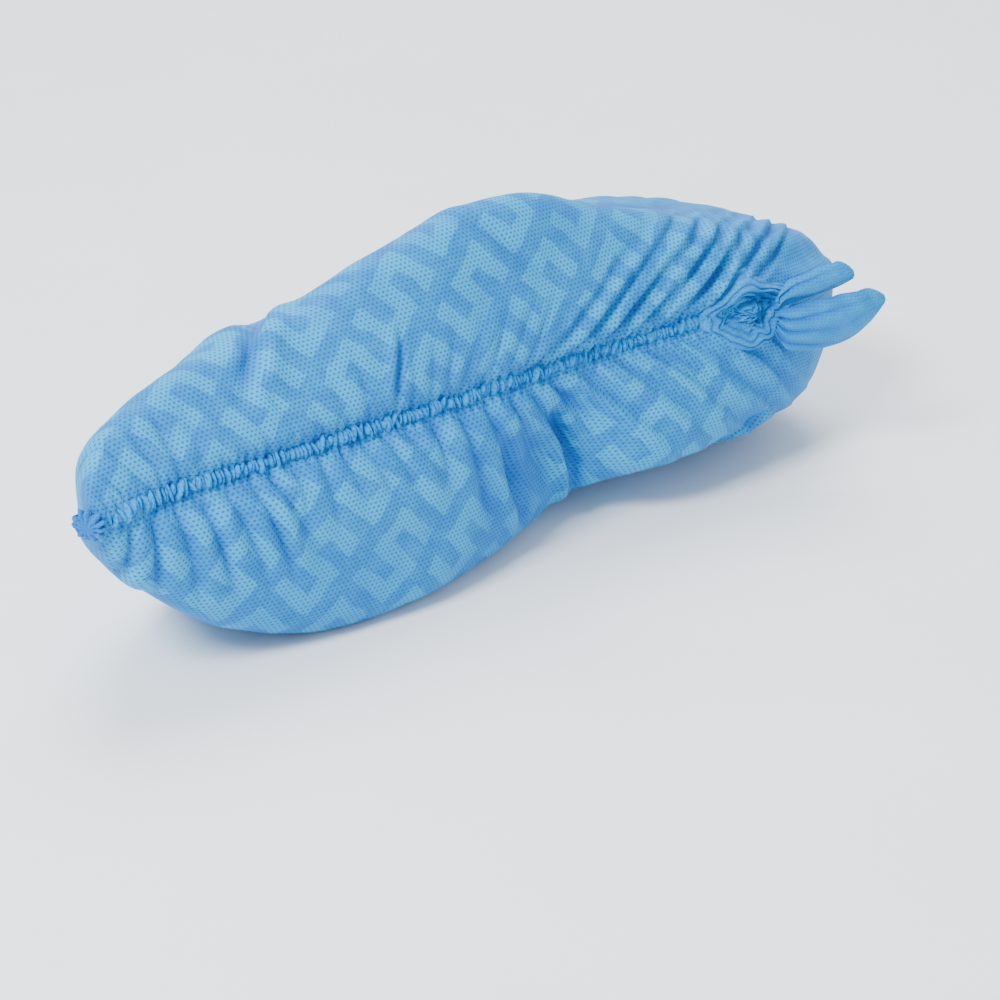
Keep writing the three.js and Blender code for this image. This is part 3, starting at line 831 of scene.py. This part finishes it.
@dataclass
class ClothPanel:
    """One cloth panel of the cover, from the sole seam round to the foot opening."""

    form: CoverForm
    side: Side
    name: str
    node: str
    rows: int = 470
    across: int = 92
    wall: float = 0.35 * MM
    # Below this height the folds die away into the part that lies on the table.
    rest: float = 7.0
    # Share of the columns that crowd towards the seam.
    crowding: float = 0.4
    gathers: float = 46
    gather_height: float = 2.2
    gather_reach: float = 13.0
    seam_half: float = 7.0
    toe_fade: tuple[float, float] = (-171, -160)
    heel_fade: tuple[float, float] = (170, 186)
    # Where the gathers begin behind, and where the print fades behind and at the heel.
    gathers_from: tuple[float, float] = (40, 64)
    print_back: tuple[float, float] = (46, 92)
    print_heel: tuple[float, float] = (88, 140)
    # How far the cloth has to lie below its smooth form to get the fullest painted shade, the darkest blue
    # painted into its folds.
    full_shade_depth: float = 2.4
    trial_rows: int = 1500
    trial_steps: int = 260

    def row_places(self) -> np.ndarray:
        """The row places, evenly spaced along the ridge."""
        t = np.linspace(0, len(SECTIONS) - 1, self.trial_rows)
        line = self.form.skin(t, np.full((len(t), 1), 1.5 * NINTH))[:, 0]
        run = run_along(line)
        return np.interp(np.linspace(0, run[-1], self.rows), run, t)

    def base_points(self, t: np.ndarray) -> tuple[np.ndarray, np.ndarray]:
        """The smooth cloth.

        Args:
            t: The row places.

        Returns:
            The points, and the distance of each from the seam over the cloth.
        """
        end = self.form.panel_end(t, self.side)
        first = 0.0 if self.side is Side.UPPER else 1.0
        fine = np.linspace(0, 1, self.trial_steps)
        v = first + (end[:, None] - first) * fine[None, :]
        line = self.form.skin(t, v)
        step = np.linalg.norm(np.diff(line, axis=1), axis=2)
        run = np.concatenate((np.zeros((len(t), 1)), np.cumsum(step, axis=1)), axis=1)
        share = np.linspace(0, 1, self.across)
        share = (1 - self.crowding) * share + self.crowding * share ** 2
        off = run[:, -1:] * share[None, :]
        at = np.stack([np.interp(off[k], run[k], v[k]) for k in range(len(t))])
        return self.form.skin(t, at), off

    def mouth_gathers(self, p: np.ndarray) -> np.ndarray:
        """The small folds that the elastic pulls round the foot opening.

        Args:
            p: The smooth cloth's points.

        Returns:
            Heights in millimetres.
        """
        f = self.form
        a = (p[..., 0] - f.mouth_x) / f.mouth_half_length
        b = (p[..., 2] - f.mouth_z) / f.mouth_half_height
        reach = np.maximum(np.hypot(a, b) - 1, 0) * f.mouth_half_height
        angle = np.arctan2(b, a)
        turn = self.gathers * angle / (2 * np.pi) + 0.3 * ripple_noise(6 * angle, reach / 12, 41)
        shape = np.abs(np.cos(np.pi * turn)) - 0.6
        back = smoothstep(p[..., 1], *self.gathers_from)
        return self.gather_height * shape * np.exp(-reach / self.gather_reach) * back

    def grid(self) -> ClothGrid:
        """The cloth with its folds."""
        t = self.row_places()
        p, off = self.base_points(t)
        x = p[..., 0]
        parts = UPPER_RELIEF if self.side is Side.UPPER else LOWER_RELIEF
        relief = sum(part.relief(x, off) for part in parts)
        relief = relief + self.mouth_gathers(p)
        relief = relief + 0.7 * ripple_noise(x / 22, off / 16, 61) + 0.3 * ripple_noise(x / 8, off / 7, 62)
        tips = smoothstep(x, *self.toe_fade) * (1 - smoothstep(x, *self.heel_fade))
        clear = smoothstep(p[..., 2], 0.5, self.rest)
        relief = relief * clear * tips
        centre = p.mean(axis=1)
        normal = outward(p, centre)
        moved = p + normal * relief[..., None]
        moved[..., 2] = np.maximum(moved[..., 2], 0)
        near_line = self.form.skin(t, np.full((len(t), 1), 0.1))[:, 0]
        run = run_along(near_line)
        lengths = np.stack((np.repeat(run[:, None], off.shape[1], 1), self.side.value * off), -1)
        near_seam = np.exp(-(off / self.seam_half) ** 2)
        # Painted shade: darker in the fold valleys, where the cloth lies below its smooth form, and along
        # the seam.
        deep = np.clip(0.08 - relief / self.full_shade_depth, 0, 1) * 0.75 + 0.30 * near_seam
        deep = np.clip(deep, 0, 0.92)
        fade_back = 1 - smoothstep(p[..., 1], *self.print_back)
        fade_heel = 1 - 0.7 * smoothstep(x, *self.print_heel)
        printed = fade_heel * (0.25 + 0.75 * fade_back) * (1 - 0.5 * near_seam)
        return ClothGrid(self.form.place(moved), lengths, deep, printed)

    def build(self) -> bpy.types.Object:
        """Builds and dresses the panel."""
        obj = self.grid().mesh_object(self.name)
        face_outwards(obj)
        add_wall(obj, self.wall)
        dress(obj, PRINTED_CLOTH, self.node)
        return obj


def gathers_tree() -> bpy.types.NodeTree:
    """The node tree that sets small ruffles along a path."""
    name = "gathers_along_path"
    if name in bpy.data.node_groups:
        return bpy.data.node_groups[name]
    tree = bpy.data.node_groups.new(name, "GeometryNodeTree")
    tree.interface.new_socket("Path", in_out="INPUT", socket_type="NodeSocketGeometry")
    for label in ("Pitch", "Width", "Thickness"):
        tree.interface.new_socket(label, in_out="INPUT", socket_type="NodeSocketFloat")
    tree.interface.new_socket("Seed", in_out="INPUT", socket_type="NodeSocketInt")
    tree.interface.new_socket("Finish", in_out="INPUT", socket_type="NodeSocketMaterial")
    tree.interface.new_socket("Ruffles", in_out="OUTPUT", socket_type="NodeSocketGeometry")
    w = Wiring(tree)
    start = w.node("NodeGroupInput")
    curve = w.node("GeometryNodeMeshToCurve", {"Mesh": start.outputs["Path"]})
    spots = w.node("GeometryNodeCurveToPoints", {
        "Curve": curve.outputs[0], "Length": start.outputs["Pitch"]}, mode="LENGTH")
    ruffle = w.node("GeometryNodeMeshUVSphere", {"Segments": 12, "Rings": 8, "Radius": 1.0})
    size = w.node("ShaderNodeCombineXYZ", {0: start.outputs["Width"], 1: start.outputs["Width"],
                                           2: start.outputs["Thickness"]})
    uneven = w.node("FunctionNodeRandomValue", {"Seed": start.outputs["Seed"]}, data_type="FLOAT_VECTOR")
    uneven.inputs[0].default_value = (0.55, 0.55, 0.6)
    uneven.inputs[1].default_value = (1.3, 1.3, 1.5)
    scale = w.node("ShaderNodeVectorMath", {0: size.outputs[0], 1: uneven.outputs[0]}, operation="MULTIPLY")
    tilt = w.node("FunctionNodeRandomValue", {"Seed": start.outputs["Seed"]}, data_type="FLOAT_VECTOR")
    tilt.inputs[0].default_value = (-0.35, -0.35, -3.1)
    tilt.inputs[1].default_value = (0.35, 0.35, 3.1)
    turned = w.node("FunctionNodeRotateRotation", {"Rotation": spots.outputs["Rotation"],
                                                   "Rotate By": tilt.outputs[0]}, rotation_space="LOCAL")
    placed = w.node("GeometryNodeInstanceOnPoints", {
        "Points": spots.outputs["Points"], "Instance": ruffle.outputs["Mesh"],
        "Rotation": turned.outputs[0], "Scale": scale.outputs[0]})
    real = w.node("GeometryNodeRealizeInstances", {0: placed.outputs[0]})
    smooth = w.node("GeometryNodeSetShadeSmooth", {0: real.outputs[0]})
    dressed = w.node("GeometryNodeSetMaterial", {"Geometry": smooth.outputs[0],
                                                 "Material": start.outputs["Finish"]})
    w.node("NodeGroupOutput", {0: dressed.outputs[0]})
    return tree


@dataclass
class GatheredEdge:
    """A ruffled edge of bunched cloth over a thin elastic, along a path."""

    name: str
    node: str
    path: np.ndarray
    closed: bool
    pitch: float
    width: float
    thickness: float
    seed: int

    def build(self) -> bpy.types.Object:
        """Builds the ruffles along the path and dresses them."""
        count = len(self.path)
        edges = [(k, k + 1) for k in range(count - 1)] + ([(count - 1, 0)] if self.closed else [])
        line = bpy.data.meshes.new(self.name + "_path")
        line.from_pydata(self.path.tolist(), edges, [])
        host = add_object(self.name + "_path", line)
        modifier = host.modifiers.new("gathers", "NODES")
        tree = gathers_tree()
        modifier.node_group = tree
        values = {"Pitch": self.pitch, "Width": self.width, "Thickness": self.thickness, "Seed": self.seed,
                  "Finish": GATHERED_CLOTH.material()}
        for item in tree.interface.items_tree:
            if item.in_out == "INPUT" and item.name in values:
                modifier[item.identifier] = values[item.name]
        graph = bpy.context.evaluated_depsgraph_get()
        mesh = bpy.data.meshes.new_from_object(host.evaluated_get(graph))
        bpy.data.objects.remove(host)
        obj = add_object(self.name, mesh)
        dress(obj, GATHERED_CLOTH, self.node)
        return obj


@dataclass
class ToeBunch:
    """The knot of bunched cloth at the toe's end of the seam."""

    form: CoverForm
    centre: tuple[float, float, float] = (-169.2, 4.5, 68.2)
    axis: tuple[float, float, float] = (-0.83, -0.55, -0.1)
    radius: float = 5.6
    half: float = 2.2
    ruffles: int = 11
    around: int = 220
    steps: int = 60

    def build(self) -> bpy.types.Object:
        """Builds the ruffled button and dresses it."""
        a = np.linspace(0, np.pi, self.steps)[:, None]
        b = np.linspace(0, 2 * np.pi, self.around)[None, :]
        uneven = ripple_noise(np.cos(b) * 3 + a * 0, np.sin(b) * 3 + a * 0, 71)
        wave = np.abs(np.cos(self.ruffles * b / 2 + 0.9 * uneven)) - 0.5
        r = self.radius * np.sin(a) * (1 + 0.2 * wave)
        rings = 0.35 * np.cos(5.2 * np.sin(a) * np.pi + 0.8 * uneven)
        h = self.half * np.cos(a) + (rings + 0.9 * wave * np.sin(a)) * np.sign(np.cos(a)) * np.sin(a)
        local = np.stack((r * np.cos(b), r * np.sin(b), h), -1)
        turn = Vector((0, 0, 1)).rotation_difference(Vector(self.axis).normalized()).to_matrix()
        points = local @ np.array(turn).T + np.array(self.centre)
        # Painted shade: darker in the valleys between the ruffles.
        deep = np.clip(0.75 - 0.6 * wave + 0 * a, 0, 1.0)
        lengths = np.stack((b * self.radius + 0 * a, a * self.radius + 0 * b), -1)
        obj = ClothGrid(self.form.place(points), lengths, deep, 0 * deep).mesh_object("toe_gather_cloth")
        dress(obj, PLAIN_CLOTH, "toe_gather")
        return obj


@dataclass
class HeelSwirl:
    """The nested ruffles of bunched cloth round the heel's end of the seam, which open into the tail."""

    form: CoverForm
    x: float = 119.0
    z: float = 68.8
    toe_reach: float = 31.0
    heel_reach: float = 25.0
    half_height: float = 15.0
    rise: float = 6.0
    rings: float = 6.5
    ruffle: float = 1.5
    rim_depth: float = 1.6
    steps: int = 130
    around: int = 330
    wall: float = 0.4 * MM
    # The stretch of cloth round the swirl's middle that it is laid on, and its samples.
    ground: tuple[float, float] = (-30.0, 40.0)
    ground_rows: int = 141
    ground_half: float = 0.1
    ground_across: int = 121

    def front(self, x: np.ndarray, z: np.ndarray) -> np.ndarray:
        """How far forward the smooth cloth lies beside the seam.

        Args:
            x: Places along the seam.
            z: Heights.

        Returns:
            The y of the cloth at each place.
        """
        rows = np.linspace(self.x + self.ground[0], self.x + self.ground[1], self.ground_rows)
        v = np.linspace(-self.ground_half, self.ground_half, self.ground_across)
        line = self.form.skin(self.form.row_at(rows), np.repeat((v % 1)[None, :], len(rows), 0))
        nearest = np.clip(np.round((x - rows[0]) / (rows[1] - rows[0])).astype(int), 0, len(rows) - 1)
        made = np.empty_like(x)
        for k in range(len(rows)):
            here = nearest == k
            order = np.argsort(line[k, :, 2])
            made[here] = np.interp(z[here], line[k, order, 2], line[k, order, 1])
        return made

    def build(self) -> bpy.types.Object:
        """Builds the swirl and dresses it."""
        r = np.linspace(0, 1, self.steps)[:, None]
        a = np.linspace(0, 2 * np.pi, self.around)[None, :]
        reach = np.where(np.cos(a) < 0, self.toe_reach, self.heel_reach)
        waver = 1 + 0.06 * np.sin(3 * a + 1) + 0.05 * np.sin(7 * a + 4 * r)
        x = self.x + reach * r * np.cos(a) * waver
        pinch = 0.35 + 0.65 * np.clip(1.15 - np.abs(np.cos(a)) * r, 0, 1)
        z = self.z + self.half_height * r * np.sin(a) * pinch * waver
        uneven = ripple_noise(3 * np.cos(a) + 0 * r, 3 * np.sin(a) + 2 * r, 33)
        wave = np.abs(np.cos(np.pi * (self.rings * r + 0.5 * uneven + 0.12 * np.sin(11 * a)))) ** 0.8 - 0.5
        dome = self.rise * (1 - r ** 2) * (0.62 + 0.38 * np.cos(3 * np.pi * r))
        rim = self.rim_depth * smoothstep(r, 0.75, 1.0)
        y = self.front(x, z) + rim - dome - self.ruffle * wave * (1 - 0.5 * r)
        # Painted shade: darker in the valleys between the rings of ruffles.
        deep = np.clip(0.45 - 0.9 * wave, 0, 0.9) + 0 * a
        lengths = np.stack((x, z), -1)
        grid = ClothGrid(self.form.place(np.stack((x, y, z), -1)), lengths, deep, 0 * deep)
        obj = grid.mesh_object("tail_swirl_cloth")
        face_outwards(obj)
        add_wall(obj, self.wall)
        dress(obj, PLAIN_CLOTH, None)
        return obj


@dataclass
class TailFlap:
    """One flap of spare cloth past the heel's end of the seam, curled across and pleated along."""

    form: CoverForm
    name: str
    node: str
    # x, y, low edge, high edge and curl of each section.
    sections: np.ndarray
    pleats: float
    steps: int = 150
    across: int = 70
    wall: float = 0.5 * MM

    def build(self) -> bpy.types.Object:
        """Builds the flap and dresses it."""
        last = len(self.sections) - 1
        t = np.linspace(0, last, self.steps)
        x, y, low, high, curl = between_rows(self.sections, t).T[:, :, None]
        w = np.linspace(0, 1, self.across)[None, :]
        run = (t / last)[:, None]
        root = 1 - smoothstep(run, 0.0, 0.9)
        uneven = ripple_noise(run * 4, w * 3, 81)
        pleat = np.abs(np.cos(np.pi * (self.pleats * w + 0.35 * uneven))) - 0.5
        depth = (0.25 + 1.5 * root) * pleat
        row = 0.10 * np.sin(2 * np.pi * w * (high - low) / 1.6) * (1 - root)
        edge = 0.5 * np.sin(9 * run * np.pi + 2 * w) * w ** 3
        front = y - curl * (1 - (2 * w - 1) ** 2) - depth - row - edge
        points = np.stack((x + 0 * w, front, low + (high - low) * w), -1)
        # Painted shade: darker towards the flap's root and in its pleat valleys.
        deep = np.clip(0.6 * root - 0.9 * pleat * root, 0, 0.85)
        lengths = np.stack((x + 0 * w, low + (high - low) * w), -1)
        grid = ClothGrid(self.form.place(points), lengths, deep, 0 * deep)
        obj = grid.mesh_object(self.name)
        add_wall(obj, self.wall)
        dress(obj, PLAIN_CLOTH, self.node)
        return obj


@dataclass
class Studio:
    """The floor, the lights and the camera."""

    azimuth: float = math.radians(-37)
    elevation: float = math.radians(24)
    distance: float = 1.0
    focus: tuple[float, float, float] = (-0.006, -0.013, 0.068)
    aside: float = 0.0153
    below: float = 0.048
    lens: float = 99.0
    floor_half: float = 5.0
    floor_front: float = 3.0
    floor_behind: float = 1.2
    floor_bend: float = 0.8
    floor_top: float = 4.0
    # Name, place, side of the square, watts and colour of each lamp.
    lamps: tuple[tuple[Any, ...], ...] = (
        ("key_lamp", (-1.0, -0.25, 1.15), 0.45, 34.0, (1.0, 1.0, 1.0)),
        ("top_lamp", (0.5, 0.7, 1.5), 1.0, 30.0, (1.0, 1.0, 1.0)),
        ("fill_lamp", (0.9, -1.2, 0.6), 1.2, 5.0, (0.9, 0.96, 1.0)),
    )
    air_colour: tuple[float, float, float, float] = (0.93, 0.97, 1.0, 1.0)
    air_strength: float = 0.85

    def floor(self) -> None:
        """Builds the pale table, which rises behind as one sweep."""
        flat, bend = self.floor_behind, self.floor_bend
        profile = [(-self.floor_front, 0.0), (flat, 0.0)]
        arc = np.linspace(0, math.pi / 2, 24)[1:]
        profile += [(flat + bend * math.sin(a), bend - bend * math.cos(a)) for a in arc]
        profile += [(flat + bend, self.floor_top)]
        turned = (math.cos(self.azimuth), math.sin(self.azimuth))
        turn = np.array(((turned[0], -turned[1]), (turned[1], turned[0])))
        half = self.floor_half
        points = [(*(turn @ np.array((side * half, y))), z) for y, z in profile for side in (-1, 1)]
        faces = [(2 * k, 2 * k + 1, 2 * k + 3, 2 * k + 2) for k in range(len(profile) - 1)]
        mesh = bpy.data.meshes.new("table")
        mesh.from_pydata(points, [], faces)
        mesh.shade_smooth()
        table = add_object("table", mesh)
        finish = bpy.data.materials.new("pale_table")
        finish.use_nodes = True
        w = Wiring(finish.node_tree)
        shader = finish.node_tree.nodes["Principled BSDF"]
        place = w.node("ShaderNodeTexCoord").outputs["Object"]
        cloud = w.node("ShaderNodeTexNoise", {"Vector": place, "Scale": 9.0, "Detail": 6.0})
        mottle = w.ramp(cloud.outputs["Fac"], 0.35, 0.65)
        colour = w.blend(mottle, (0.86, 0.905, 0.925, 1), (0.90, 0.93, 0.945, 1))
        w.tree.links.new(colour, shader.inputs["Base Color"])
        shader.inputs["Roughness"].default_value = 0.55
        mesh.materials.append(finish)

    def light(self, name: str, place: Sequence[float], size: float, power: float,
              colour: tuple[float, float, float]) -> None:
        """Adds one soft lamp that looks at the cover.

        Args:
            name: The lamp's name.
            place: Where it stands, in metres.
            size: The side of its square.
            power: In watts.
            colour: Its colour.
        """
        data = bpy.data.lights.new(name, "AREA")
        data.size = size
        data.energy = power
        data.color = colour
        lamp = bpy.data.objects.new(name, data)
        lamp.location = place
        lamp.rotation_euler = (Vector(self.focus) - Vector(place)).to_track_quat("-Z", "Y").to_euler()
        bpy.context.scene.collection.objects.link(lamp)

    def build(self) -> None:
        """Builds the floor, lamps, backdrop light and camera."""
        self.floor()
        for lamp in self.lamps:
            self.light(*lamp)
        world = bpy.data.worlds.new("studio_air")
        world.use_nodes = True
        air = world.node_tree.nodes["Background"]
        air.inputs["Color"].default_value = self.air_colour
        air.inputs["Strength"].default_value = self.air_strength
        bpy.context.scene.world = world
        a, e = self.azimuth, self.elevation
        back = Vector((math.sin(a) * math.cos(e), -math.cos(a) * math.cos(e), math.sin(e)))
        right = Vector((math.cos(a), math.sin(a), 0))
        up = back.cross(right)
        eye = Vector(self.focus) + back * self.distance
        aim = Vector(self.focus) + right * self.aside - up * self.below
        data = bpy.data.cameras.new("camera")
        data.lens = self.lens
        camera = bpy.data.objects.new("camera", data)
        camera.location = eye
        camera.rotation_euler = (aim - eye).to_track_quat("-Z", "Y").to_euler()
        bpy.context.scene.collection.objects.link(camera)
        bpy.context.scene.camera = camera


# The gathered seam's run in millimetres, with how far it sinks into the cloth and wavers.
SEAM_START = -163
SEAM_END = 117
SEAM_STEPS = 300
SEAM_SINK = 0.7
SEAM_WAVER = 0.5

# Sections of the two tail flaps: x, y, low edge, high edge and curl, in millimetres.
UPPER_FLAP = np.array((
    (124, -5, 70, 74.5, 0.3),
    (129, -4, 71, 80, 2),
    (140, -8, 73.5, 84, 3),
    (150, -11, 75.5, 86, 2.4),
    (156, -13, 78, 82, 1),
))
LOWER_FLAP = np.array((
    (122.5, -7, 63, 70.5, 1),
    (128, -8, 54.5, 71.5, 3),
    (140, -13, 53.5, 73.5, 4.5),
    (151, -17, 55.5, 75, 4),
    (160, -19, 60.5, 75, 2.2),
    (167, -20, 67.5, 71, 0.5),
))


def seam_path(form: CoverForm) -> np.ndarray:
    """The line of the sole seam, from the toe to the swirl, in metres."""
    x = np.linspace(SEAM_START, SEAM_END, SEAM_STEPS)
    points = form.skin(form.row_at(x), np.zeros((len(x), 1)))[:, 0]
    points[:, 1] += SEAM_SINK
    points[:, 2] += SEAM_WAVER * ripple_noise(x / 7, x * 0, 91)
    return form.place(points)


def mouth_path(form: CoverForm) -> np.ndarray:
    """The closed line of the foot opening, in metres."""
    lines = []
    for side in (Side.UPPER, Side.LOWER):
        a = np.linspace(0, math.pi, 160)[:-1]
        a = a if side is Side.UPPER else a + math.pi
        t = form.row_at(form.mouth_x + form.mouth_half_length * np.cos(a) * 0.9995)
        lines.append(form.skin(t, form.panel_end(t, side)[:, None])[:, 0])
    return form.place(np.concatenate(lines))


def main() -> None:
    """Builds the cover in order and reports each piece."""
    logging.basicConfig(level=logging.INFO, format="%(message)s")
    form = CoverForm()
    form.settle()
    LOG.info("shift to the frame %s mm", np.round(form.shift, 2))
    Studio().build()
    upper = ClothPanel(form, Side.UPPER, "upper_cloth", "upper_panel").build()
    lower = ClothPanel(form, Side.LOWER, "lower_cloth", "lower_panel").build()
    swirl = HeelSwirl(form).build()
    seam = GatheredEdge("sole_seam_gathers", "sole_elastic", path=seam_path(form), closed=False,
                        pitch=1.5 * MM, width=3.1 * MM, thickness=0.8 * MM, seed=5).build()
    mouth = GatheredEdge("foot_opening_gathers", "mouth_elastic", path=mouth_path(form), closed=True,
                         pitch=2.2 * MM, width=2.6 * MM, thickness=1.2 * MM, seed=6).build()
    toe = ToeBunch(form).build()
    upper_flap = TailFlap(form, "tail_upper_cloth", "tail_upper_flap", UPPER_FLAP, pleats=2.2).build()
    lower_flap = TailFlap(form, "tail_lower_cloth", "tail_lower_flap", LOWER_FLAP, pleats=3.4).build()
    for piece in (upper, lower, swirl, seam, mouth, toe, upper_flap, lower_flap):
        LOG.info("%s has %d faces", piece.name, len(piece.data.polygons))


if __name__ == "__main__":
    main()
